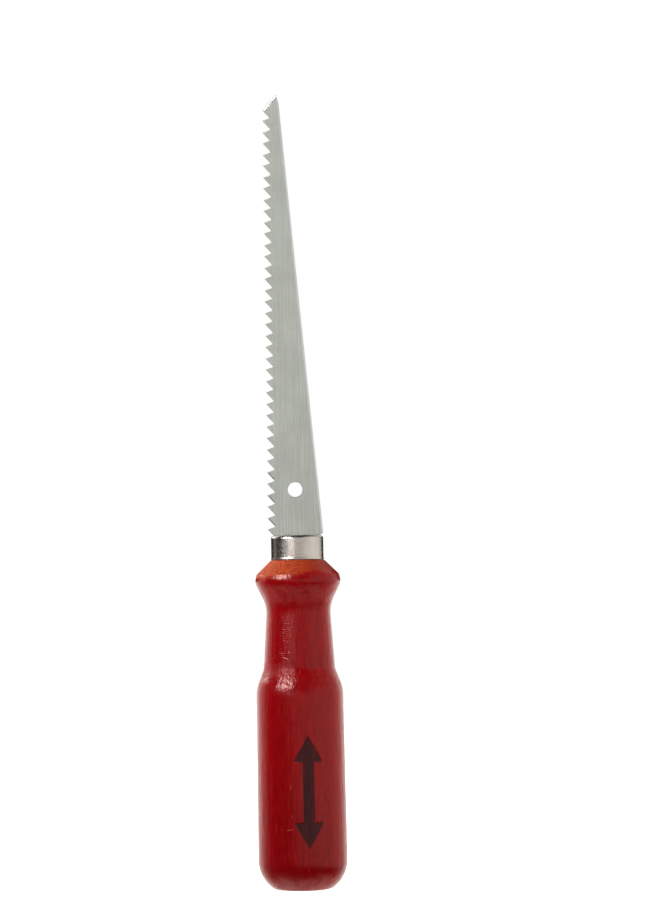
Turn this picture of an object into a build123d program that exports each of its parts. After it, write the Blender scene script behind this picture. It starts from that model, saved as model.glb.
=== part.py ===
from build123d import *
import math
import os

# A drywall saw: a stiff, tapered jab blade whose tang is bonded into a turned wooden handle,
# with a plated cup ferrule pressed over the tenon at the handle's top.
#
# Frame, in millimetres: the origin is the centre of the flat foot at the handle's butt, +Z
# runs up the handle to the blade's point, the blade lies in the XZ plane and its teeth face -X.

# --- driving dimensions: handle -------------------------------------------------------------
# Outline of the turned wood from the foot to the guard ridge: radius, height, corner radius.
HANDLE_OUTLINE = (
    (10.8, 0.0, 2.0),  # foot, where the flat butt turns up
    (16.4, 4.3, 12.4),  # butt, one long rounding up to the side
    (16.3, 22.0, 60.0),  # fullest part of the grip
    (15.9, 73.3, 15.0),  # top of the grip
    (13.1, 80.1, 7.3),  # foot of the neck
    (11.6, 103.4, 12.7),  # waist of the neck
    (15.9, 112.2, 4.0),  # guard ridge, its widest
    (15.2, 115.0, 1.5),  # guard ridge, where its bevel starts
)
HANDLE_LENGTH = 120.1  # foot to the shoulder that the ferrule sits on
SHOULDER_RADIUS = 10.0
TENON_EDGE_CHAMFER = 0.6

# --- driving dimensions: ferrule ------------------------------------------------------------
FERRULE_RADIUS = 9.75
FERRULE_HEIGHT = 9.2
FERRULE_WALL = 0.7
FERRULE_TOP_ROUND = 1.2
FERRULE_FOOT_ROUND = 0.3
SLOT_WIDTH = 10.0  # in the end wall, for the tang
SLOT_THICKNESS = 1.7

# --- driving dimensions: blade --------------------------------------------------------------
BLADE_LENGTH = 165.0  # ferrule to point
BLADE_THICKNESS = 1.2
HEEL_BACK_X = 9.77  # back edge where it meets the ferrule
BACK_TAPER = 4.85  # degrees between the back edge and Z
HEEL_CORNER_ROUND = 1.6
POINT_X = -5.0
POINT_FACET_DROP = 3.6  # height of the small facet behind the point
NOSE_X = -10.1  # first tooth, at the lower end of the slanted front edge
NOSE_DROP = 6.1  # its distance below the point
TOOTH_LINE_LEAN = 0.25  # degrees between the line of tooth tips and Z
FRONT_BEVEL_WIDTH = 1.0
FRONT_EDGE_THICKNESS = 0.25
BACK_EDGE_CHAMFER = 0.15

# --- driving dimensions: teeth --------------------------------------------------------------
TEETH = 38
TOOTH_PITCH = 25.4 / 6  # seven points to the inch
TOOTH_UPPER_ANGLE = 20.0  # degrees off square, on the side towards the point
TOOTH_LOWER_ANGLE = 48.0  # degrees off square, on the side towards the handle
GULLET_RADIUS = 0.55
FLEAM = 20.0  # alternate grind: the cutter leans this many degrees out of square, up then down

# --- driving dimensions: hanging hole -------------------------------------------------------
HOLE_DIAMETER = 5.5
HOLE_X = -0.4
HOLE_HEIGHT = 17.0  # above the ferrule
HOLE_DEBURR = 0.2

# --- driving dimensions: tang and its bond --------------------------------------------------
TANG_LENGTH = 62.0  # below the ferrule's outer face
TANG_ROOT = 1.0  # how far the tang's outline runs up into the plate
TANG_WIDTH = 9.0
TANG_END_WIDTH = 6.5
TANG_KEYS = 3  # pairs of round notches that key the tang into the bond
TANG_KEY_RADIUS = 0.9
TANG_KEY_FIRST = 16.0  # below the ferrule
TANG_KEY_STEP = 14.0
PILOT_RADIUS = 4.8
PILOT_DEPTH = 64.0
PILOT_POINT = 2.9  # height of the drill's cone below the bore
BOND_RECESS = 0.2  # the bond stops this far below the ferrule's outer face

# --- grinding allowances --------------------------------------------------------------------
OVERCUT = 2.0  # how far every cutter runs past the metal
BLANK_MARGIN = 0.5  # how far the blank stands outside the tooth tips before grinding

# --- derived places -------------------------------------------------------------------------
FERRULE_TOP = HANDLE_LENGTH + FERRULE_HEIGHT
TENON_TOP = FERRULE_TOP - FERRULE_WALL
TENON_RADIUS = FERRULE_RADIUS - FERRULE_WALL
POINT_Z = FERRULE_TOP + BLADE_LENGTH
NOSE_Z = POINT_Z - NOSE_DROP

XZ = Plane.XZ


def slab(outline, thickness):
    """A plate of the given thickness, centred on the XZ plane."""
    return extrude(XZ * make_face(outline), thickness / 2, both=True)


def polygon(*points):
    return Polyline(*points, close=True)


def back_edge_x(height):
    """X of the blade's back edge at a height above the ferrule."""
    return HEEL_BACK_X - height * math.tan(math.radians(BACK_TAPER))


def tooth_tip_x(z):
    """X of the line of tooth tips at a height in the part's frame."""
    return NOSE_X - (NOSE_Z - z) * math.tan(math.radians(TOOTH_LINE_LEAN))


def handle_profile():
    """Half outline of the turned wood with its tenon, in the XZ plane."""
    corners = [(radius, height) for radius, height, _ in HANDLE_OUTLINE]
    rounds = [corner for _, _, corner in HANDLE_OUTLINE]
    turned = FilletPolyline((0, 0), *corners, (SHOULDER_RADIUS, HANDLE_LENGTH), radius=rounds)
    tenon = Polyline(
        (SHOULDER_RADIUS, HANDLE_LENGTH),
        (TENON_RADIUS, HANDLE_LENGTH),
        (TENON_RADIUS, TENON_TOP - TENON_EDGE_CHAMFER),
        (TENON_RADIUS - TENON_EDGE_CHAMFER, TENON_TOP),
        (0, TENON_TOP),
        (0, 0),
    )
    return make_face([*turned.edges(), *tenon.edges()])


def pilot_bore():
    """The drilled bore for the tang: a cylinder with the drill's cone at its foot."""
    floor = TENON_TOP - PILOT_DEPTH
    outline = polygon(
        (0, floor - PILOT_POINT),
        (PILOT_RADIUS, floor),
        (PILOT_RADIUS, TENON_TOP),
        (0, TENON_TOP),
    )
    return revolve(XZ * make_face(outline), Axis.Z)


def handle():
    return revolve(XZ * handle_profile(), Axis.Z) - pilot_bore()


def slot_prism(height):
    """Round-ended prism that rises from the tenon's top into the ferrule's end wall."""
    slot = SlotOverall(SLOT_WIDTH, SLOT_THICKNESS)
    return extrude(Plane.XY.offset(TENON_TOP) * slot, height)


def ferrule():
    """Drawn cup: a wall round the tenon and an end wall that the tang passes through."""
    inner_round = FERRULE_TOP_ROUND - FERRULE_WALL
    outer = FilletPolyline(
        (TENON_RADIUS, HANDLE_LENGTH),
        (FERRULE_RADIUS, HANDLE_LENGTH),
        (FERRULE_RADIUS, FERRULE_TOP),
        (0, FERRULE_TOP),
        radius=(FERRULE_FOOT_ROUND, FERRULE_TOP_ROUND),
    )
    inner = FilletPolyline(
        (0, FERRULE_TOP),
        (0, TENON_TOP),
        (TENON_RADIUS, TENON_TOP),
        (TENON_RADIUS, HANDLE_LENGTH),
        radius=(0, inner_round),
    )
    cup = revolve(XZ * make_face([*outer.edges(), *inner.edges()]), Axis.Z)
    return cup - slot_prism(FERRULE_WALL)


def blade_blank():
    """The blade before its teeth are ground: a tapered plate, straight past the tooth tips."""
    facet_height = BLADE_LENGTH - POINT_FACET_DROP
    front_lean = (POINT_X - NOSE_X) / NOSE_DROP
    outside_x = tooth_tip_x(FERRULE_TOP) - BLANK_MARGIN
    outside_z = NOSE_Z - (NOSE_X - outside_x) / front_lean
    outline = FilletPolyline(
        (outside_x, outside_z),
        (outside_x, FERRULE_TOP),
        (HEEL_BACK_X, FERRULE_TOP),
        (back_edge_x(facet_height), FERRULE_TOP + facet_height),
        (POINT_X, POINT_Z),
        radius=(0, 0, HEEL_CORNER_ROUND, 0, 0),
        close=True,
    )
    return slab(outline, BLADE_THICKNESS)


def gullet_cutter(tip_z, lean):
    """Cutter for the gullet below the tooth whose tip is at tip_z.

    Its section is a V with a round root, and it crosses the blade leaning by lean degrees.
    The two faces of a tooth then meet in a point at one side of the blade.
    """
    upper = math.tan(math.radians(TOOTH_UPPER_ANGLE))
    lower = math.tan(math.radians(TOOTH_LOWER_ANGLE))
    point_offset = BLADE_THICKNESS * math.tan(math.radians(FLEAM)) / (upper + lower)
    mid_tip_x = tooth_tip_x(tip_z) + point_offset
    root_x = mid_tip_x + TOOTH_PITCH / (upper + lower)
    root_z = tip_z - (root_x - mid_tip_x) * lower
    reach = root_x - mid_tip_x + OVERCUT
    outline = FilletPolyline(
        (root_x - reach, root_z + reach * lower),
        (root_x, root_z),
        (root_x - reach, root_z - reach * upper),
        radius=(0, GULLET_RADIUS, 0),
        close=True,
    )
    half_run = BLADE_THICKNESS
    direction = Vector(0, math.cos(math.radians(lean)), math.sin(math.radians(lean)))
    section = (XZ * make_face(outline)).moved(Pos(-direction * half_run))
    return extrude(section, 2 * half_run, dir=direction)


def gullets():
    """One cutter below every tooth, leaning up and down by turns."""
    cutters = []
    for index in range(TEETH):
        lean = FLEAM if index % 2 else -FLEAM
        cutters.append(gullet_cutter(NOSE_Z - index * TOOTH_PITCH, lean))
    return cutters


def front_bevels():
    """Wedges that thin the slanted front edge from both sides, so that it stabs into board."""
    half = BLADE_THICKNESS / 2
    half_edge = FRONT_EDGE_THICKNESS / 2
    rise = half - half_edge
    edge = Vector(POINT_X - NOSE_X, 0, NOSE_DROP)
    along = edge.normalized()
    inward = Vector(0, 1, 0).cross(along)
    start = Vector(NOSE_X, 0, NOSE_Z) - along * OVERCUT
    section_plane = Plane(origin=start, x_dir=inward, z_dir=along)
    wedges = []
    for side in (1, -1):
        section = polygon(
            (-FRONT_BEVEL_WIDTH, side * (half_edge - rise)),
            (2 * FRONT_BEVEL_WIDTH, side * (half + rise)),
            (-FRONT_BEVEL_WIDTH, side * (half + rise)),
        )
        wedges.append(extrude(section_plane * make_face(section), edge.length + 2 * OVERCUT))
    return wedges


def tang_half_width(depth):
    """Half the tang's width at a depth below the ferrule's outer face."""
    narrowing = (TANG_WIDTH - TANG_END_WIDTH) * depth / TANG_LENGTH
    return (TANG_WIDTH - narrowing) / 2


def tang():
    """The blade's tail, narrowing downwards, with round key notches in both edges."""
    bottom = FERRULE_TOP - TANG_LENGTH
    outline = polygon(
        (-TANG_WIDTH / 2, FERRULE_TOP + TANG_ROOT),
        (TANG_WIDTH / 2, FERRULE_TOP + TANG_ROOT),
        (TANG_END_WIDTH / 2, bottom),
        (-TANG_END_WIDTH / 2, bottom),
    )
    body = slab(outline, BLADE_THICKNESS)
    for index in range(TANG_KEYS):
        depth = TANG_KEY_FIRST + index * TANG_KEY_STEP
        for side in (1, -1):
            place = Pos(side * tang_half_width(depth), 0, FERRULE_TOP - depth) * Rot(90, 0, 0)
            body -= place * Cylinder(TANG_KEY_RADIUS, BLADE_THICKNESS + 2 * OVERCUT)
    return body


def hanging_hole():
    """Cutter for the hole: the drill and a shallow countersink on each side."""
    radius = HOLE_DIAMETER / 2
    sink_depth = HOLE_DEBURR + OVERCUT
    place = Pos(HOLE_X, 0, FERRULE_TOP + HOLE_HEIGHT)
    cutter = Rot(90, 0, 0) * Cylinder(radius, BLADE_THICKNESS + 2 * OVERCUT)
    for turn in (90, -90):
        sink = Pos(0, 0, BLADE_THICKNESS / 2 + OVERCUT / 2 - HOLE_DEBURR / 2)
        cutter += Rot(turn, 0, 0) * sink * Cone(radius, radius + sink_depth, sink_depth)
    return place * cutter


def back_edges(plate):
    """The two long edges of the blade's back."""
    lines = plate.edges().filter_by(GeomType.LINE)
    return [edge for edge in lines if edge.length > BLADE_LENGTH / 2 and edge.center().X > 0]


def blade():
    """The toothed plate and its tang, in one piece of steel."""
    plate = blade_blank()
    plate = chamfer(back_edges(plate), BACK_EDGE_CHAMFER)
    plate -= front_bevels()
    plate -= gullets()
    plate += tang()
    return plate - hanging_hole()


def tang_bond():
    """Cured adhesive that fills the pilot bore and the ferrule's slot round the tang."""
    fill = pilot_bore() + slot_prism(FERRULE_WALL - BOND_RECESS)
    return fill - tang()


PIECES = {
    "handle": handle,
    "ferrule": ferrule,
    "blade": blade,
    "tang_bond": tang_bond,
}

os.makedirs("parts", exist_ok=True)
for name, make in PIECES.items():
    piece = make()
    piece.label = name
    export_step(piece, f"parts/{name}.step")
    print(name, len(piece.solids()), round(piece.volume))
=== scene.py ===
"""The looks of a drywall saw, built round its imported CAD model.

The saw stands on its butt at the origin, its blade in the XZ plane with the teeth towards -X.
The camera looks along +Y, nearly square to the blade. Blender's lengths are metres; outlines,
marks and material patterns are worked out in millimetres and scaled by MM.
"""

import math

import bpy
import numpy as np
from mathutils import Matrix, Vector, noise


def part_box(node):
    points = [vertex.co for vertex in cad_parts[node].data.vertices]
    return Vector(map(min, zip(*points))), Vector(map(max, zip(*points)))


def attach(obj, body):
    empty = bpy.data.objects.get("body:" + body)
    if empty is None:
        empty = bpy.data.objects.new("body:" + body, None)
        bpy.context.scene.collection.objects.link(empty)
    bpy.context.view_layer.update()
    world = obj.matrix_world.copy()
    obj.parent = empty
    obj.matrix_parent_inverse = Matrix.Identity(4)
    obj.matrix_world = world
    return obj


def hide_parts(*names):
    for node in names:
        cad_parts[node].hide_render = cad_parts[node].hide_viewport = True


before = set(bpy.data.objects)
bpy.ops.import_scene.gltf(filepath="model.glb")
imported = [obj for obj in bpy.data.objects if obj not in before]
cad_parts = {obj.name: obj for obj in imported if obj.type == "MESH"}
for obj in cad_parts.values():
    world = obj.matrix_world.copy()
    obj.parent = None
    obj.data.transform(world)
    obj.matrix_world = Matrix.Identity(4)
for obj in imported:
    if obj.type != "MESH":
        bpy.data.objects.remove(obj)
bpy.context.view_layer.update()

MM = 0.001

# --- handle outline, as in the CAD: radius, height and corner radius in mm -------------------
HANDLE_OUTLINE = (
    (10.8, 0.0, 2.0),
    (16.4, 4.3, 12.4),
    (16.3, 22.0, 60.0),
    (15.9, 73.3, 15.0),
    (13.1, 80.1, 7.3),
    (11.6, 103.4, 12.7),
    (15.9, 112.2, 4.0),
    (15.2, 115.0, 1.5),
)
GRIP_RADIUS = 16.2
SHOULDER_RADIUS = 10.0
SHOULDER_ROUND = 0.25
TENON_CHAMFER = 0.6
RIDGE_HEIGHT = 112.6  # where the guard ridge is widest
BORE_POINT = 2.9  # height of the drill's cone below the bore

# --- places read from the CAD, in mm ---------------------------------------------------------
FERRULE_LOW, FERRULE_HIGH = (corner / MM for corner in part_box("ferrule"))
HANDLE_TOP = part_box("handle")[1].z / MM
FERRULE_RADIUS = FERRULE_HIGH.x
SHOULDER_Z = FERRULE_LOW.z
FERRULE_TOP = FERRULE_HIGH.z
FERRULE_WALL = FERRULE_TOP - HANDLE_TOP
TENON_RADIUS = FERRULE_RADIUS - FERRULE_WALL
BOND_LOW, BOND_HIGH = (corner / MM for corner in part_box("tang_bond"))
BORE_RADIUS = BOND_HIGH.y

# --- heights on the handle, in mm: where each band fades in, and where it fades out -----------
# The first band is painted shade: a darker ring where the butt starts to round over.
BUTT_SHADE_BAND = ((6.0, 8.5), (13.5, 10.5))
SHOULDER_BAND = ((20.0, 50.0), (95.0, 90.0))
ROUGH_BAND = ((78.3, 79.5), (85.0, 82.8))
NECK_BAND = ((77.0, 84.0), (110.0, 103.0))
FLARE_BAND = ((102.5, 105.5), (111.5, 109.0))
THIN_COAT_EDGE = (RIDGE_HEIGHT + 3.3, RIDGE_HEIGHT + 5.6)

# --- mark stamped into the handle, in mm: a plain two-headed arrow for push and pull ---------
MARK_CENTRE = 36.0
MARK_AZIMUTH = math.radians(9.9)
MARK_LENGTH = 40.8
MARK_HEAD_WIDTH = 10.9
MARK_HEAD_LENGTH = 9.5
MARK_SHAFT_WIDTH = 4.2
MARK_DEPTH = 0.13
MARK_SLOPE = 0.35  # width of the stamp's sloping side
FAR_FROM_MARK = 9.0  # stored at the handle's two poles

# --- shallow dents in the lacquer: azimuth in degrees, height, half length, half width, depth --
DENTS = (
    (-76.0, 63.8, 2.4, 0.7, 0.16),
    (71.0, 58.5, 1.3, 0.9, 0.07),
    (78.0, 47.0, 1.8, 0.8, 0.08),
    (74.0, 39.0, 1.5, 1.0, 0.07),
    (-150.0, 34.0, 1.6, 1.2, 0.12),
    (140.0, 92.0, 1.4, 0.8, 0.1),
)

# --- handling scratches: azimuth in degrees, height, length in mm, tilt in degrees, width -----
SCRATCHES = (
    (-23.0, 84.5, 2.6, -20.0, 0.42),
    (-16.5, 86.6, 1.2, 60.0, 0.3),
    (-15.0, 22.6, 3.0, 5.0, 0.12),
    (-12.0, 27.6, 1.4, 64.0, 0.14),
    (-13.5, 38.0, 2.4, 84.0, 0.12),
    (74.0, 30.0, 5.0, 80.0, 0.3),
    (-140.0, 61.0, 4.5, 35.0, 0.25),
    (165.0, 27.0, 3.2, -62.0, 0.3),
)
SCRATCH_DEPTH = 0.015

# --- mesh spacing, in mm ---------------------------------------------------------------------
MARK_STEP = 0.17  # round the handle, across the mark
FINE_STEP = 0.24  # up the handle, beside the mark
RIDGE_STEP = 0.3  # from RIDGE_REACH below the ridge upwards
RIDGE_REACH = 3.0
COARSE_STEP = 0.54
HIDDEN_STEP = 2.5  # in the bore, on the tenon and in the middle of the foot
HIDDEN_RADIUS = 8.0
MARK_MARGIN = 1.2
FERRULE_STEP = 0.12
FERRULE_SIDES = 180

# --- slot in the ferrule's end wall, in mm -----------------------------------------------------
SLOT_WIDTH = 10.0
SLOT_THICKNESS = 1.7
SLOT_END_STEPS = 12
SLOT_OVERCUT = 0.5

# --- grain and blade, in mm --------------------------------------------------------------------
PITH_OFFSET = (34.0, -21.0, 0.0)  # from where the wood's pith would be to the handle's axis
BACK_TAPER = math.radians(4.85)
HEEL_BACK = 9.77  # X of the blade's back edge at the ferrule
BACK_EDGE_FOOT = HEEL_BACK + FERRULE_TOP * math.tan(BACK_TAPER)  # the back edge's line at Z = 0

# --- camera: metres, degrees, and millimetres of lens on a sensor 36 mm wide -------------------
CAMERA_DISTANCE = 0.93
CAMERA_HEIGHT = 0.1089
CAMERA_OFFSET = 0.0118
CAMERA_PITCH = 3.19
CAMERA_ROLL = 1.11
CAMERA_LENS = 100.56
CAMERA_SENSOR = 36.0

# --- lights: name, azimuth, elevation, distance, size, power, and what each one makes ----------
# Angles are in degrees, lengths in metres and powers in watts.
LIGHT_TARGET = Vector((0, 0, 0.09))
LIGHTS = (
    ("key", -47, 30, 0.8, (0.36, 0.33), 6.8, "gloss"),
    ("key_soft", -36, 45, 0.5, (0.3, 0.3), 3.0, "diffuse"),
    ("key_skirt", -27, 8, 0.8, (0.34, 0.2), 0.2, "both"),
    ("fill_front", 8, -5, 0.6, (0.4, 0.4), 0.52, "diffuse"),
    ("fill_right", 55, 2, 0.6, (0.4, 0.4), 0.9, "diffuse"),
    ("rear_left", -131, 22, 0.8, (0.2, 0.1), 1.0, "gloss"),
    ("edge_left", -122, -4, 0.8, (0.6, 0.8), 10.3, "diffuse"),
    ("edge_right", 118, -4, 0.8, (0.6, 0.8), 8.2, "diffuse"),
    ("under", -30, -78, 0.6, (0.4, 0.4), 2.0, "diffuse"),
)
FERRULE_LIGHTS = (
    ("ferrule_panel", 25, 5, 0.9, (1.8, 1.0), 1.78, "both"),
    ("ferrule_right", 92, 5, 0.9, (0.8, 1.0), 0.95, "both"),
    ("ferrule_left", -88, 5, 0.9, (0.8, 1.0), 0.04, "both"),
    ("ferrule_glow", -41, 5, 0.8, (0.8, 0.5), 0.3, "both"),
)
BLADE_LIGHT = ("blade_panel", 0, 10, 0.9, (1.2, 1.0), 1.6, "both")

# --- black cards behind the ferrule, in metres: X and Y of each one's outer and inner ends -----
FLAGS = (
    ((-0.055, 0.024), (-0.006, 0.045)),
    ((0.041, 0.024), (0.006, 0.045)),
)
FLAG_LOW = 0.112
FLAG_HIGH = 0.142

# --- backdrop: how far a direction points away from the camera, and how bright it is there -----
BACKDROP = (
    (0.24, 0.0),
    (0.44, 0.24),
    (0.64, 0.82),
    (0.82, 1.35),
    (0.95, 1.35),
    (0.995, 0.6),
)
BLUE_SHARE = 0.92  # the studio is slightly warm
FLOOR_HALF = 1.5  # metres


def rgb(red, green, blue):
    """A colour from display numbers 0-255, as the linear numbers that shaders take."""
    linear = []
    for part in (red, green, blue):
        share = part / 255
        linear.append(share / 12.92 if share <= 0.04045 else ((share + 0.055) / 1.055) ** 2.4)
    return (*linear, 1.0)


def grey(level):
    """A linear grey."""
    return (level, level, level, 1.0)


RED_STAIN = rgb(134, 4, 9)
DEEP_RED = rgb(118, 3, 8)
WARM_RED = rgb(165, 41, 30)
# Pale pink for a painted haze of reflected light on the flare.
HAZE_PINK = rgb(150, 62, 60)
DARK_RED = rgb(100, 3, 6)
PORE_RED = rgb(72, 3, 6)
ORANGE = rgb(184, 77, 31)
DARK_ORANGE = rgb(122, 24, 9)
LACQUER_TINT = (1.0, 0.72, 0.7, 1.0)
INK = rgb(47, 13, 17)
WORN_INK = rgb(66, 15, 19)
# Pale scratched lacquer, partly a painted highlight where the scratches catch the light.
SCRATCH_PALE_GLINT = rgb(206, 128, 112)
NICKEL = rgb(218, 208, 201)
THIN_NICKEL = rgb(180, 167, 157)
STEEL = rgb(213, 216, 208)
DULL_STEEL = rgb(198, 201, 193)
BRUSHED_STEEL = rgb(180, 183, 175)
STAINED_STEEL = rgb(160, 160, 150)
GROUND_STEEL = rgb(238, 241, 243)
CUT_STEEL = rgb(142, 144, 142)
EPOXY = rgb(150, 128, 84)
DARK_EPOXY = rgb(122, 100, 62)
WHITE = grey(1.0)
FLOOR_WHITE = grey(0.85)
FLAG_BLACK = grey(0.01)


# --- node trees --------------------------------------------------------------------------------
class Nodes:
    """Adds nodes to a tree. A method returns the new node's output socket, or sockets."""

    def __init__(self, tree):
        self.tree = tree
        tree.nodes.clear()

    def add(self, kind, inputs=(), output=0, **settings):
        """Adds one node. An input takes a plain value, or a socket to link to."""
        node = self.tree.nodes.new(kind)
        for name, value in settings.items():
            setattr(node, name, value)
        for name, value in dict(inputs).items():
            if isinstance(value, bpy.types.NodeSocket):
                self.tree.links.new(value, node.inputs[name])
            else:
                node.inputs[name].default_value = value
        return node.outputs[output] if node.outputs else None

    def math(self, operation, a, b=0.0, c=0.0):
        return self.add("ShaderNodeMath", {0: a, 1: b, 2: c}, operation=operation)

    def times(self, a, b):
        return self.math("MULTIPLY", a, b)

    def times_plus(self, a, b, c):
        """a times b, plus c."""
        return self.math("MULTIPLY_ADD", a, b, c)

    def larger(self, a, b):
        return self.math("MAXIMUM", a, b)

    def vector_math(self, operation, a, b=(0.0, 0.0, 0.0), output=0):
        return self.add("ShaderNodeVectorMath", {0: a, 1: b}, output, operation=operation)

    def split(self, vector):
        """The X, Y and Z of a vector."""
        return self.add("ShaderNodeSeparateXYZ", {0: vector}).node.outputs

    def from_axis(self, vector):
        """Distance of a place from the Z axis."""
        flat = self.vector_math("MULTIPLY", vector, (1.0, 1.0, 0.0))
        return self.vector_math("LENGTH", flat, output=1)

    def stretched(self, vector, along):
        """vector with Z scaled by along, so that a pattern runs up and down the piece."""
        return self.vector_math("MULTIPLY", vector, (1.0, 1.0, along))

    def between(self, value, low, high, to_low=0.0, to_high=1.0):
        """value remapped with a smooth step from low..high to to_low..to_high."""
        inputs = {
            "Value": value,
            "From Min": low,
            "From Max": high,
            "To Min": to_low,
            "To Max": to_high,
        }
        return self.add("ShaderNodeMapRange", inputs, interpolation_type="SMOOTHSTEP")

    def band(self, value, rise, fall):
        """1 between two edges, fading in over one pair of values and out over the other."""
        return self.times(self.between(value, *rise), self.between(value, *fall))

    def mix(self, share, a, b):
        inputs = {"Factor": share, 6: a, 7: b}
        return self.add("ShaderNodeMix", inputs, output=2, data_type="RGBA")

    def tinted(self, colour, tint, share, strength):
        """colour taken towards tint by share times strength."""
        return self.mix(self.times(share, strength), colour, tint)

    def noise(self, vector, scale, detail=2.0, roughness=0.5):
        inputs = {"Vector": vector, "Scale": scale, "Detail": detail, "Roughness": roughness}
        return self.add("ShaderNodeTexNoise", inputs)

    def position_mm(self):
        place = self.add("ShaderNodeTexCoord", output=3)
        return self.add("ShaderNodeVectorMath", {0: place, "Scale": 1 / MM}, operation="SCALE")

    def attribute(self, name):
        return self.add("ShaderNodeAttribute", output=2, attribute_name=name)

    def bump(self, height_mm):
        return self.add("ShaderNodeBump", {"Height": height_mm, "Distance": MM})

    def surface(self, **inputs):
        """Ends the tree with a Principled surface. Spaces in input names are underscores."""
        named = {name.replace("_", " "): value for name, value in inputs.items()}
        shader = self.add("ShaderNodeBsdfPrincipled", named)
        self.add("ShaderNodeOutputMaterial", {"Surface": shader})


def new_material(name):
    material = bpy.data.materials.new(name)
    material.use_nodes = True
    return material, Nodes(material.node_tree)


# --- meshes ------------------------------------------------------------------------------------
def corner_arc(before, corner, after, radius, steps=14):
    """Points of the arc that rounds a corner between two straight runs."""
    into = (before - corner) / np.linalg.norm(before - corner)
    out = (after - corner) / np.linalg.norm(after - corner)
    half_angle = math.acos(np.clip(into @ out, -1, 1)) / 2
    towards_centre = (into + out) / np.linalg.norm(into + out)
    centre = corner + towards_centre * radius / math.sin(half_angle)
    start = corner + into * radius / math.tan(half_angle) - centre
    end = corner + out * radius / math.tan(half_angle) - centre
    sweep = math.atan2(start[0] * end[1] - start[1] * end[0], start @ end)
    arc = []
    for step in range(steps + 1):
        turn = sweep * step / steps
        cos, sin = math.cos(turn), math.sin(turn)
        arc.append(centre + (start[0] * cos - start[1] * sin, start[0] * sin + start[1] * cos))
    return arc


def rounded_outline(points, radii):
    """Polyline through points with each inner corner replaced by an arc of its radius."""
    points = [np.array(point, float) for point in points]
    line = [points[0]]
    for before, corner, after, radius in zip(points, points[1:], points[2:], radii):
        line.extend(corner_arc(before, corner, after, radius) if radius else [corner])
    line.append(points[-1])
    return np.array(line)


def resampled(line, step_at):
    """The same polyline with points as far apart as step_at(point) says, ends kept."""
    lengths = np.r_[0, np.cumsum(np.linalg.norm(np.diff(line, axis=0), axis=1))]
    places = [0.0]
    while places[-1] < lengths[-1]:
        here = [np.interp(places[-1], lengths, line[:, axis]) for axis in (0, 1)]
        places.append(places[-1] + step_at(here))
    places = np.array(places) * lengths[-1] / places[-1]
    return np.column_stack([np.interp(places, lengths, line[:, axis]) for axis in (0, 1)])


def turned_faces(ring_count, around_count):
    """Quads between the rings of a turned mesh, and the triangles round its first and last point.

    The rings' points come first, then the first pole and the last pole.
    """
    low = np.arange(ring_count - 1)[:, None] * around_count
    high = low + around_count
    here = np.arange(around_count)[None, :]
    there = np.roll(here, -1)
    quads = np.stack([low + here, low + there, high + there, high + here], -1)
    faces = quads.reshape(-1, 4).tolist()
    first = ring_count * around_count
    last = first + 1
    top = (ring_count - 1) * around_count
    for index in range(around_count):
        following = (index + 1) % around_count
        faces.append((first, following, index))
        faces.append((last, top + index, top + following))
    return faces


def turned_mesh(name, profile, azimuths, shift=None):
    """Mesh turned round Z from a profile of (radius, height) in mm that starts and ends on the
    axis. Azimuth 0 faces -Y. shift(azimuth, radius, height) moves a point outwards, in mm."""
    inner = profile[1:-1]
    radius, height = inner[:, :1], inner[:, 1:]
    around = azimuths[None, :]
    offset = shift(around, radius, height) if shift else 0 * around * radius
    x = (radius + offset) * np.sin(around)
    y = -(radius + offset) * np.cos(around)
    z = height + 0 * around
    rings = np.stack([x, y, z], -1).reshape(-1, 3)
    poles = [(0, 0, profile[0, 1]), (0, 0, profile[-1, 1])]
    points = np.vstack([rings, poles]) * MM
    mesh = bpy.data.meshes.new(name)
    mesh.from_pydata(points.tolist(), [], turned_faces(len(inner), len(azimuths)))
    mesh.shade_smooth()
    return mesh


def new_piece(name, mesh, material):
    mesh.materials.append(material)
    piece = bpy.data.objects.new(name, mesh)
    bpy.context.scene.collection.objects.link(piece)
    return piece


def set_attribute(mesh, name, values):
    """Stores one number at each point, for a material to read."""
    layer = mesh.attributes.new(name, "FLOAT", "POINT")
    layer.data.foreach_set("value", np.asarray(values, np.float32))


def cut(piece, cutter):
    """Cuts cutter out of piece for good, and removes the cutter."""
    modifier = piece.modifiers.new("cut", "BOOLEAN")
    modifier.operation = "DIFFERENCE"
    modifier.solver = "EXACT"
    modifier.object = cutter
    graph = bpy.context.evaluated_depsgraph_get()
    mesh = bpy.data.meshes.new_from_object(piece.evaluated_get(graph), depsgraph=graph)
    piece.modifiers.clear()
    piece.data = mesh
    bpy.data.objects.remove(cutter)


# --- handle: shape -----------------------------------------------------------------------------
def mark_distance(azimuth, height):
    """Signed distance in mm from the arrow's outline, measured on the grip, negative inside."""
    across = np.abs((azimuth - MARK_AZIMUTH) * GRIP_RADIUS) + 0 * height
    along = np.abs(height - MARK_CENTRE) + 0 * azimuth
    head_foot = MARK_LENGTH / 2 - MARK_HEAD_LENGTH
    half_head = MARK_HEAD_WIDTH / 2
    slant = math.hypot(MARK_HEAD_LENGTH, half_head)
    flank = ((MARK_LENGTH / 2 - along) * half_head - across * MARK_HEAD_LENGTH) / slant
    head = np.minimum(flank, along - head_foot)
    overlap = 0.1
    shaft = np.minimum(MARK_SHAFT_WIDTH / 2 - across, head_foot + overlap - along)
    return -np.maximum(head, shaft)


def handle_step(point):
    """How far apart the handle's rings are at a point of its outline, in mm."""
    radius, height = point
    if radius < HIDDEN_RADIUS or height > SHOULDER_Z + 0.5:
        return HIDDEN_STEP
    if abs(height - MARK_CENTRE) < MARK_LENGTH / 2 + MARK_MARGIN:
        return FINE_STEP
    return RIDGE_STEP if height > RIDGE_HEIGHT - RIDGE_REACH else COARSE_STEP


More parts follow.
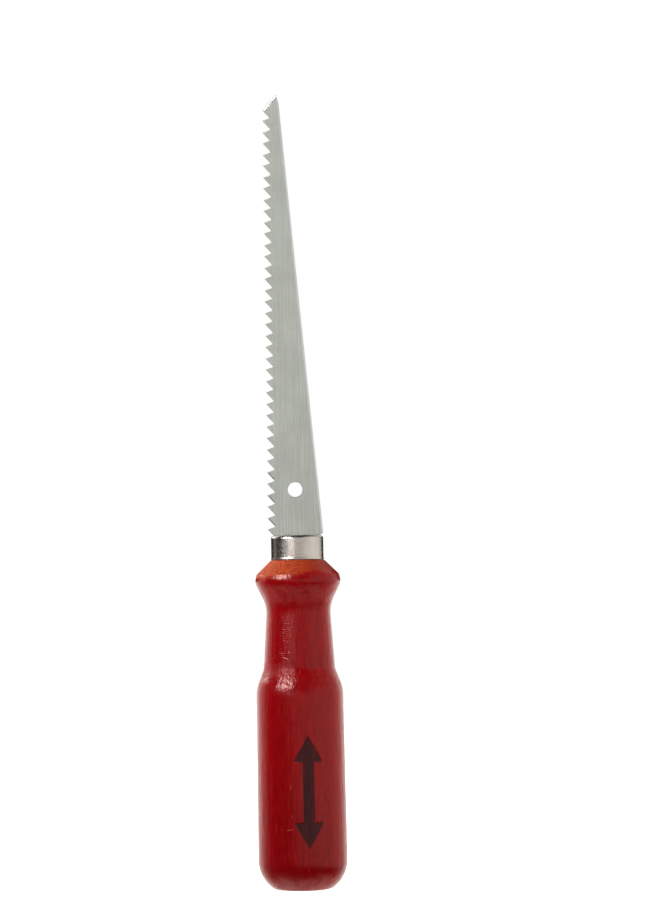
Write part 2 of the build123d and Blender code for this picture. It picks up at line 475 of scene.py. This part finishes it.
def handle_profile():
    """The whole turned outline: butt, grip, neck, ridge, tenon and the bore down to its point."""
    corners = [(radius, height) for radius, height, _ in HANDLE_OUTLINE]
    rounds = [corner for _, _, corner in HANDLE_OUTLINE]
    points = [
        (0, 0),
        *corners,
        (SHOULDER_RADIUS, SHOULDER_Z),
        (TENON_RADIUS, SHOULDER_Z),
        (TENON_RADIUS, HANDLE_TOP - TENON_CHAMFER),
        (TENON_RADIUS - TENON_CHAMFER, HANDLE_TOP),
        (BORE_RADIUS, HANDLE_TOP),
        (BORE_RADIUS, BOND_LOW.z + BORE_POINT),
        (0, BOND_LOW.z),
    ]
    line = rounded_outline(points, [*rounds, SHOULDER_ROUND, 0, 0, 0, 0, 0])
    return resampled(line, handle_step)


def handle_azimuths():
    """Directions round the handle, closer together across the mark."""
    half = (MARK_HEAD_WIDTH / 2 + MARK_MARGIN) / GRIP_RADIUS
    fine = np.arange(MARK_AZIMUTH - half, MARK_AZIMUTH + half, MARK_STEP / GRIP_RADIUS)
    rest = 2 * math.pi - (fine[-1] - fine[0])
    count = int(rest * GRIP_RADIUS / COARSE_STEP)
    coarse = fine[-1] + rest * np.arange(1, count) / count
    return np.r_[fine, coarse]


def dent_depth(azimuth, radius, height):
    """How deep the handling dents go at a point, in mm."""
    total = 0 * azimuth * height
    for centre, middle, half_length, half_width, depth in DENTS:
        turn = (azimuth - math.radians(centre) + math.pi) % (2 * math.pi) - math.pi
        reach = (turn * radius / half_width) ** 2 + ((height - middle) / half_length) ** 2
        total = total + depth * np.clip(1 - reach, 0, None) ** 2
    return total


def wave(x, y, z):
    """Slow unevenness of the turned wood at a place in mm, drawn out along the grain."""
    slow = noise.noise(Vector((x * 0.3, y * 0.3, z * 0.02)))
    quick = noise.noise(Vector((x, y, z * 0.06)))
    return slow + 0.3 * quick


def handle_shift(azimuth, radius, height):
    """How far the surface stands off the true turned shape: the mark, dents, slow waviness.
    The shoulder, the tenon and the bore stay true."""
    pressed = np.clip(0.5 - mark_distance(azimuth, height) / MARK_SLOPE, 0, 1)
    outside = (radius > SHOULDER_RADIUS - 0.5) & (height < SHOULDER_Z - 0.3)
    x, y = radius * np.sin(azimuth), -radius * np.cos(azimuth)
    z = height + 0 * azimuth
    waves = [wave(*place) for place in zip(x.ravel(), y.ravel(), z.ravel())]
    wave_depth = 0.012
    worn = wave_depth * np.array(waves).reshape(x.shape) - dent_depth(azimuth, radius, height)
    return np.where(outside, worn, 0) - MARK_DEPTH * pressed


# --- handle: material --------------------------------------------------------------------------
def scratch_mask(n, place, azimuth, height, length, tilt, width):
    """1 inside a short straight scratch on the handle, fading to 0 at its sides and ends."""
    x, y, z = n.split(place)
    turn = n.math("ARCTAN2", x, n.times(y, -1.0))
    across = n.times(n.math("SUBTRACT", turn, math.radians(azimuth)), n.from_axis(place))
    up = n.math("SUBTRACT", z, height)
    cos, sin = math.cos(math.radians(tilt)), math.sin(math.radians(tilt))
    along = n.times_plus(across, cos, n.times(up, sin))
    aside = n.times_plus(up, cos, n.times(across, -sin))
    ends = n.between(n.math("ABSOLUTE", along), length / 2, length / 3)
    sides = n.between(n.math("ABSOLUTE", aside), width / 2, 0.0)
    return n.times(ends, sides)


def all_scratches(n, place):
    scratched = 0.0
    for scratch in SCRATCHES:
        scratched = n.larger(scratch_mask(n, place, *scratch), scratched)
    return scratched


def stain_colour(n, place, height):
    """Red stain over the grain: rings, dark threads and pale flecks. Painted shade darkens it
    towards the butt and in a band where the butt starts to round, and a painted haze of
    reflected light lies in pale patches on the flare."""
    wobble = n.noise(n.stretched(place, 0.1), 0.12, 3.0)
    from_pith = n.from_axis(n.vector_math("ADD", place, PITH_OFFSET))
    rings = n.math("PINGPONG", n.times_plus(wobble, 5.0, from_pith), 1.1)
    threads = n.between(n.noise(n.stretched(place, 0.08), 1.6, 4.0, 0.65), 0.42, 0.62)
    flecks = n.between(n.noise(n.stretched(place, 0.2), 1.4, 3.0, 0.6), 0.6, 0.72)
    uneven = n.times_plus(n.noise(place, 0.3, 3.0, 0.6), 5.0, height)
    patchy = n.between(n.noise(place, 0.22, 3.0, 0.6), 0.38, 0.55)
    flare = n.times(n.band(height, *FLARE_BAND), patchy)
    colour = n.tinted(RED_STAIN, DEEP_RED, n.between(rings, 0.55, 1.1), 0.3)
    # Painted shade: the stain made darker towards the butt, where less light falls.
    colour = n.tinted(colour, DEEP_RED, n.between(height, 60.0, 5.0), 0.6)
    colour = n.tinted(colour, DARK_RED, threads, 0.4)
    # Painted shade: a dark band where the butt starts to round over.
    colour = n.tinted(colour, DARK_RED, n.band(uneven, *BUTT_SHADE_BAND), 0.45)
    colour = n.tinted(colour, WARM_RED, flecks, 0.4)
    # Painted reflection: a pale haze in patches on the downward-facing flare.
    return n.tinted(colour, HAZE_PINK, flare, 0.25)


def wood_colour(n, place, across, height):
    """The stain with a thin orange coat above the ridge, and where the coat is thin. Its lower
    edge is uneven, and higher towards the right. The coat is painted lighter on the left, where
    the key light falls, and darker to the right: painted light and shade."""
    mottle = n.noise(place, 1.4, 1.5, 0.6)
    line = n.times_plus(n.math("MINIMUM", across, 6.0), -0.12, height)
    line = n.times_plus(n.noise(place, 0.15, 2.0), 1.8, line)
    line = n.times_plus(mottle, 1.8, line)
    thin_coat = n.between(line, *THIN_COAT_EDGE)
    # Random mottle, times painted light and shade: the coat lighter on the left, darker to the
    # right.
    mottle_and_left_light = n.times(n.between(mottle, 0.38, 0.62, 0.2, 1.0), n.between(across, 14.0, -11.0))
    coat = n.mix(mottle_and_left_light, DARK_ORANGE, ORANGE)
    return n.mix(thin_coat, stain_colour(n, place, height), coat), thin_coat


def lathe_rings(n, place, height):
    """Fine turning marks round the neck: a wave from -1 to 1, and its depth in mm."""
    uneven = n.noise(n.stretched(place, 6.0), 0.12, 3.0)
    rings = n.math("SINE", n.times_plus(uneven, 9.0, n.times(height, 8.0)))
    depth = n.between(n.noise(n.stretched(place, 3.0), 0.3, 2.0), 0.3, 0.7, 0.002, 0.013)
    return rings, n.times(depth, n.band(height, *NECK_BAND))


def wood_relief(n, place, height, tilt):
    """Height of the surface in mm, from grain, open pores, cut end grain and the neck's lathe
    rings, and where the pores are."""
    grain = n.times(n.noise(n.stretched(place, 0.06), 1.15, 2.0, 0.6), 0.16)
    pores = n.between(n.noise(n.stretched(place, 0.1), 1.7, 2.0, 0.6), 0.58, 0.68)
    ripple = n.times(n.noise(n.stretched(place, 0.5), 1.0, 1.0, 0.5), 0.04)
    cut_ends = n.times(n.between(n.noise(place, 1.45, 1.0, 0.5), 0.35, 0.65), tilt)
    cut_ends = n.times(cut_ends, n.between(height, 20.0, 50.0, 0.3, 1.0))
    rings, ring_depth = lathe_rings(n, place, height)
    relief = n.math("ADD", grain, ripple)
    relief = n.times_plus(pores, -0.015, relief)
    relief = n.times_plus(cut_ends, 0.03, relief)
    return n.times_plus(rings, ring_depth, relief), pores


def stamped(n, place, colour):
    """colour with the mark's worn ink over it, and where the ink is."""
    ragged = n.times_plus(n.noise(n.stretched(place, 0.3), 3.0, 2.0), 0.22, -0.11)
    inked = n.between(n.math("ADD", n.attribute("mark_distance"), ragged), 0.05, -0.07)
    threads = n.between(n.noise(n.stretched(place, 0.05), 2.0, 3.0, 0.6), 0.45, 0.65)
    return n.mix(inked, colour, n.mix(threads, INK, WORN_INK)), inked


def rough_flank(n, place, across, height):
    """1 on the rough patch at the foot of the neck, on its left."""
    uneven = n.times_plus(n.noise(place, 0.5, 2.0), 2.4, height)
    return n.times(n.band(uneven, *ROUGH_BAND), n.between(across, 1.0, -3.0))


def wood_roughness(n, place, patches):
    """Satin lacquer, raised to a level of its own in each patch."""
    roughness = n.between(n.noise(place, 0.25, 3.0), 0.3, 0.7, 0.17, 0.23)
    for patch, level in patches:
        roughness = n.larger(roughness, n.times(patch, level))
    return roughness


def wood_gloss(n, place, height, tilt, thin_coat, flank):
    """Specular level, lower where the coat is thin, dull or rough and in specks of end grain."""
    dull = n.between(n.noise(place, 0.3, 3.0, 0.6), 0.46, 0.6)
    dull = n.larger(n.times(dull, n.between(tilt, 0.5, 1.0)), thin_coat)
    specks = n.between(n.noise(n.stretched(place, 0.75), 1.2, 1.0, 0.5), 0.5, 0.62)
    specks = n.times(specks, n.times(tilt, n.band(height, *SHOULDER_BAND)))
    gloss = n.times(n.between(dull, 0.0, 1.0, 0.5, 0.3), n.between(specks, 0.0, 1.0, 1.0, 0.2))
    return n.times(gloss, n.between(flank, 0.0, 1.0, 1.0, 0.62))


def wood_material():
    """Red lacquer over turned hardwood, with a stamped mark and a few handling scratches."""
    material, n = new_material("handle_wood")
    place = n.position_mm()
    across, _, height = n.split(place)
    _, _, slope = n.split(n.add("ShaderNodeNewGeometry", output=1))
    tilt = n.between(n.math("ABSOLUTE", slope), 0.1, 0.34)
    scratched = all_scratches(n, place)
    flank = rough_flank(n, place, across, height)
    colour, thin_coat = wood_colour(n, place, across, height)
    relief, pores = wood_relief(n, place, height, tilt)
    colour = n.tinted(colour, PORE_RED, pores, 0.4)
    colour, inked = stamped(n, place, colour)
    # Scratches: pale scratched lacquer, partly a painted highlight of the light they catch.
    colour = n.tinted(colour, SCRATCH_PALE_GLINT, scratched, 0.8)
    relief = n.times_plus(scratched, -SCRATCH_DEPTH, relief)
    patches = ((flank, 0.38), (thin_coat, 0.46), (inked, 0.36), (scratched, 0.5))
    n.surface(
        Base_Color=colour,
        Roughness=wood_roughness(n, place, patches),
        Specular_IOR_Level=wood_gloss(n, place, height, tilt, thin_coat, flank),
        IOR=1.5,
        Specular_Tint=LACQUER_TINT,
        Normal=n.bump(relief),
    )
    return material


def make_handle():
    profile = handle_profile()
    azimuths = handle_azimuths()
    mesh = turned_mesh("handle", profile, azimuths, handle_shift)
    marked = mark_distance(azimuths[None, :], profile[1:-1, 1:])
    set_attribute(mesh, "mark_distance", np.r_[marked.ravel(), FAR_FROM_MARK, FAR_FROM_MARK])
    piece = new_piece("turned_handle", mesh, wood_material())
    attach(piece, "root")
    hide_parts("handle")


# --- ferrule -----------------------------------------------------------------------------------
def ferrule_profile():
    """The drawn cup: a rolled top, a wall and a slightly flared lip, then back inside."""
    lip_height, lip_flare = 0.55, 0.09
    wall_radius = FERRULE_RADIUS - lip_flare
    corners = (  # radius, height and corner radius
        (wall_radius, FERRULE_TOP, 1.2),
        (wall_radius, SHOULDER_Z + 2 * lip_height, 0.8),
        (FERRULE_RADIUS, SHOULDER_Z + lip_height, 0.5),
        (FERRULE_RADIUS, SHOULDER_Z, 0.42),
        (TENON_RADIUS, SHOULDER_Z, 0.12),
        (TENON_RADIUS, HANDLE_TOP, 0.5),
    )
    points = [(radius, height) for radius, height, _ in corners]
    rounds = [corner for _, _, corner in corners]
    line = rounded_outline([(0, FERRULE_TOP), *points, (0, HANDLE_TOP)], rounds)
    return resampled(line, lambda point: FERRULE_STEP)


def slot_outline():
    """Points round the slot, in mm: a half circle at each end of two straight sides."""
    radius = SLOT_THICKNESS / 2
    end_centre = SLOT_WIDTH / 2 - radius
    outline = []
    for side in (1, -1):
        for step in range(SLOT_END_STEPS + 1):
            turn = math.pi * step / SLOT_END_STEPS - math.pi / 2
            x = side * (end_centre + radius * math.cos(turn))
            outline.append((x, side * radius * math.sin(turn)))
    return outline


def slot_cutter():
    """Prism for the tang's slot, through the ferrule's end wall."""
    outline = slot_outline()
    count = len(outline)
    levels = (HANDLE_TOP - SLOT_OVERCUT, FERRULE_TOP + SLOT_OVERCUT)
    points = [(x * MM, y * MM, z * MM) for z in levels for x, y in outline]
    faces = []
    for index in range(count):
        following = (index + 1) % count
        faces.append((index, following, count + following, count + index))
    faces.append(tuple(reversed(range(count))))
    faces.append(tuple(range(count, 2 * count)))
    mesh = bpy.data.meshes.new("slot")
    mesh.from_pydata(points, [], faces)
    cutter = bpy.data.objects.new("slot", mesh)
    bpy.context.scene.collection.objects.link(cutter)
    return cutter


def nickel_material():
    """Nickel plate polished round the ring, mottled in patches where the plating is thin."""
    material, n = new_material("ferrule_plate")
    place = n.position_mm()
    patches = n.between(n.noise(place, 0.16, 2.0, 0.5), 0.4, 0.6)
    mottle = n.between(n.noise(place, 1.5, 1.5, 0.6), 0.35, 0.65)
    thin = n.times(patches, mottle)
    colour = n.tinted(NICKEL, THIN_NICKEL, thin, 0.45)
    polish = n.times(n.noise(n.stretched(place, 8.0), 0.35, 2.0, 0.5), 0.004)
    pitted = n.times(mottle, n.between(patches, 0.0, 1.0, 0.003, 0.011))
    smooth = n.between(n.noise(place, 0.9, 2.0), 0.3, 0.7, 0.2, 0.27)
    roughness = n.times_plus(thin, 0.08, smooth)
    relief = n.math("SUBTRACT", polish, pitted)
    n.surface(Base_Color=colour, Metallic=1.0, Roughness=roughness, Normal=n.bump(relief))
    return material


def make_ferrule():
    azimuths = np.linspace(0, 2 * math.pi, FERRULE_SIDES, endpoint=False)
    mesh = turned_mesh("ferrule", ferrule_profile(), azimuths)
    piece = new_piece("ferrule_cup", mesh, nickel_material())
    cut(piece, slot_cutter())
    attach(piece, "root")
    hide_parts("ferrule")


# --- blade and bond, carried over from the CAD -------------------------------------------------
def steel_colour(n, place, brushing, facing, bright):
    """Brushed, clouded and flecked steel, bright where it is ground, grey on its cut edges, with a
    painted highlight along the back edge.
    """
    clouds = n.noise(place, 0.07, 4.0, 0.6)
    flecks = n.between(n.noise(n.stretched(place, 0.3), 1.4, 3.0, 0.6), 0.6, 0.72)
    colour = n.mix(n.between(clouds, 0.3, 0.7), STEEL, DULL_STEEL)
    colour = n.tinted(colour, BRUSHED_STEEL, n.between(brushing, 0.35, 0.65), 0.7)
    colour = n.tinted(colour, STAINED_STEEL, flecks, 0.4)
    colour = n.mix(bright, colour, GROUND_STEEL)
    return n.mix(n.between(facing, 0.55, 0.4), colour, CUT_STEEL)


def steel_material():
    """Satin steel brushed along the blade and ground across its teeth and bevels."""
    material, n = new_material("blade_steel")
    place = n.position_mm()
    x, _, z = n.split(place)
    _, sideways, _ = n.split(n.add("ShaderNodeNewGeometry", output=3))
    facing = n.math("ABSOLUTE", sideways)
    ground = n.between(facing, 0.985, 0.9)
    back_edge = n.times_plus(z, -math.tan(BACK_TAPER), BACK_EDGE_FOOT)
    # Painted highlight: a bright band along the back edge.
    back_edge_highlight = n.between(n.math("SUBTRACT", back_edge, x), 0.75, 0.35)
    # bright: the ground faces, and the painted highlight on the back edge.
    bright = n.larger(ground, back_edge_highlight)
    brushing = n.noise(n.stretched(place, 0.02), 2.6, 5.0, 0.7)
    grinding = n.noise(n.vector_math("MULTIPLY", place, (0.15, 1.0, 1.0)), 3.0, 4.0, 0.7)
    relief = n.times(n.mix(ground, brushing, grinding), 0.012)
    roughness = n.between(brushing, 0.3, 0.7, 0.32, 0.44)
    n.surface(
        Base_Color=steel_colour(n, place, brushing, facing, bright),
        Metallic=1.0,
        Roughness=n.times_plus(bright, -0.1, roughness),
        Normal=n.bump(relief),
    )
    return material


def epoxy_material():
    """Cured amber adhesive with a slightly uneven skin."""
    material, n = new_material("tang_adhesive")
    place = n.position_mm()
    colour = n.mix(n.noise(place, 0.8, 3.0), EPOXY, DARK_EPOXY)
    relief = n.times(n.noise(place, 1.5, 2.0), 0.05)
    n.surface(Base_Color=colour, Roughness=0.35, Normal=n.bump(relief))
    return material


def dress_cad_node(node, material):
    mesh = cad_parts[node].data
    mesh.materials.clear()
    mesh.materials.append(material)


# --- stage, light and camera -------------------------------------------------------------------
def backdrop_level(n, away):
    """Brightness of the BACKDROP table in a direction."""
    ramp = n.add("ShaderNodeValToRGB", {0: away})
    stops = ramp.node.color_ramp.elements
    stops.remove(stops[1])
    stops[0].position, level = BACKDROP[0]
    stops[0].color = grey(level)
    for place, level in BACKDROP[1:]:
        stops.new(place).color = grey(level)
    return ramp


def panel_level(n, right, up):
    """Brightness of the dim panel, which a steep direction misses unless it is far to the right."""
    near = n.between(right, -0.45, -0.22, 0.0, 0.3)
    far = n.between(right, 0.0, 0.9, 0.0, 0.16)
    steep = n.between(n.math("ABSOLUTE", up), 0.1, 0.27)
    ahead = n.larger(n.between(right, 0.75, 0.25), n.between(up, -0.2, -0.4))
    hit = n.math("SUBTRACT", 1.0, n.times(steep, ahead))
    return n.times(n.math("ADD", near, far), hit)


def make_world():
    """A studio as a shiny piece sees it: a white backdrop behind the saw, white from below, a
    dim panel from straight ahead to the right, and darkness at the left front. The camera itself
    sees plain white."""
    world = bpy.data.worlds.new("studio")
    bpy.context.scene.world = world
    world.use_nodes = True
    n = Nodes(world.node_tree)
    right, away, up = n.split(n.add("ShaderNodeTexCoord", output=0))
    backdrop = backdrop_level(n, away)
    below = n.times(n.between(up, -0.5, -0.85), n.between(away, -0.75, 0.1, 0.0, 1.2))
    ceiling = n.between(up, 0.6, 0.95, 0.0, 0.03)
    panel = panel_level(n, right, up)
    studio = n.larger(n.larger(backdrop, below), n.larger(panel, ceiling))
    bluish = n.times(studio, BLUE_SHARE)
    tinted = n.add("ShaderNodeCombineXYZ", {0: studio, 1: studio, 2: bluish})
    colour = n.mix(n.add("ShaderNodeLightPath", output=0), tinted, WHITE)
    shader = n.add("ShaderNodeBackground", {"Color": colour, "Strength": 1.0})
    n.add("ShaderNodeOutputWorld", {"Surface": shader})


def make_floor():
    """Plain pale floor at the butt's height. It stays out of reflections and bounced light, and
    casts no shadow."""
    mesh = bpy.data.meshes.new("floor")
    half = FLOOR_HALF
    corners = [(-half, -half, 0), (half, -half, 0), (half, half, 0), (-half, half, 0)]
    mesh.from_pydata(corners, [], [(0, 1, 2, 3)])
    material, n = new_material("floor_white")
    n.surface(
        Base_Color=FLOOR_WHITE,
        Roughness=0.9,
        Specular_IOR_Level=0.0,
        Emission_Color=WHITE,
        Emission_Strength=0.9,
    )
    floor = new_piece("floor", mesh, material)
    floor.visible_glossy = False
    floor.visible_diffuse = False
    floor.visible_shadow = False


def make_flags():
    """Two black cards behind the ferrule that only reflections see: they give the plated ring its
    dark edges."""
    material, n = new_material("flag_black")
    n.surface(Base_Color=FLAG_BLACK, Roughness=1.0, Specular_IOR_Level=0.0)
    for ends in FLAGS:
        mesh = bpy.data.meshes.new("flag")
        points = [(x, y, z) for z in (FLAG_LOW, FLAG_HIGH) for x, y in ends]
        mesh.from_pydata(points, [], [(0, 1, 3, 2)])
        flag = new_piece("flag", mesh, material)
        flag.visible_camera = False
        flag.visible_diffuse = False
        flag.visible_shadow = False


def area_light(name, azimuth, elevation, distance, size, power, makes):
    """Area light aimed at the handle's neck. Azimuth is from the camera's side, right positive."""
    turn, lift = math.radians(azimuth), math.radians(elevation)
    across, back = math.sin(turn) * math.cos(lift), -math.cos(turn) * math.cos(lift)
    towards = Vector((across, back, math.sin(lift)))
    light = bpy.data.lights.new(name, "AREA")
    light.shape = "RECTANGLE"
    light.size, light.size_y = size
    light.energy = power
    lamp = bpy.data.objects.new(name, light)
    lamp.location = LIGHT_TARGET + towards * distance
    lamp.rotation_mode = "QUATERNION"
    lamp.rotation_quaternion = (-towards).to_track_quat("-Z", "Y")
    lamp.visible_camera = False
    lamp.visible_glossy = makes != "diffuse"
    lamp.visible_diffuse = makes != "gloss"
    bpy.context.scene.collection.objects.link(lamp)
    return lamp


def light_only(lamp, piece):
    """Makes a light reach this piece and nothing else."""
    receivers = bpy.data.collections.new(lamp.name + "_receivers")
    receivers.objects.link(piece)
    lamp.light_linking.receiver_collection = receivers


def make_lights():
    for settings in LIGHTS:
        area_light(*settings)
    for settings in FERRULE_LIGHTS:
        light_only(area_light(*settings), bpy.data.objects["ferrule_cup"])
    light_only(area_light(*BLADE_LIGHT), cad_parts["blade"])


def make_camera():
    data = bpy.data.cameras.new("camera")
    data.sensor_width = CAMERA_SENSOR
    data.lens = CAMERA_LENS
    camera = bpy.data.objects.new("camera", data)
    place = Matrix.Translation((CAMERA_OFFSET, -CAMERA_DISTANCE, CAMERA_HEIGHT))
    roll = Matrix.Rotation(math.radians(CAMERA_ROLL), 4, "Y")
    pitch = Matrix.Rotation(math.radians(90 + CAMERA_PITCH), 4, "X")
    camera.matrix_world = place @ roll @ pitch
    bpy.context.scene.collection.objects.link(camera)
    bpy.context.scene.camera = camera


def main():
    bpy.context.scene.view_settings.view_transform = "Standard"
    make_camera()
    make_world()
    make_floor()
    make_flags()
    make_handle()
    make_ferrule()
    dress_cad_node("blade", steel_material())
    dress_cad_node("tang_bond", epoxy_material())
    make_lights()


main()
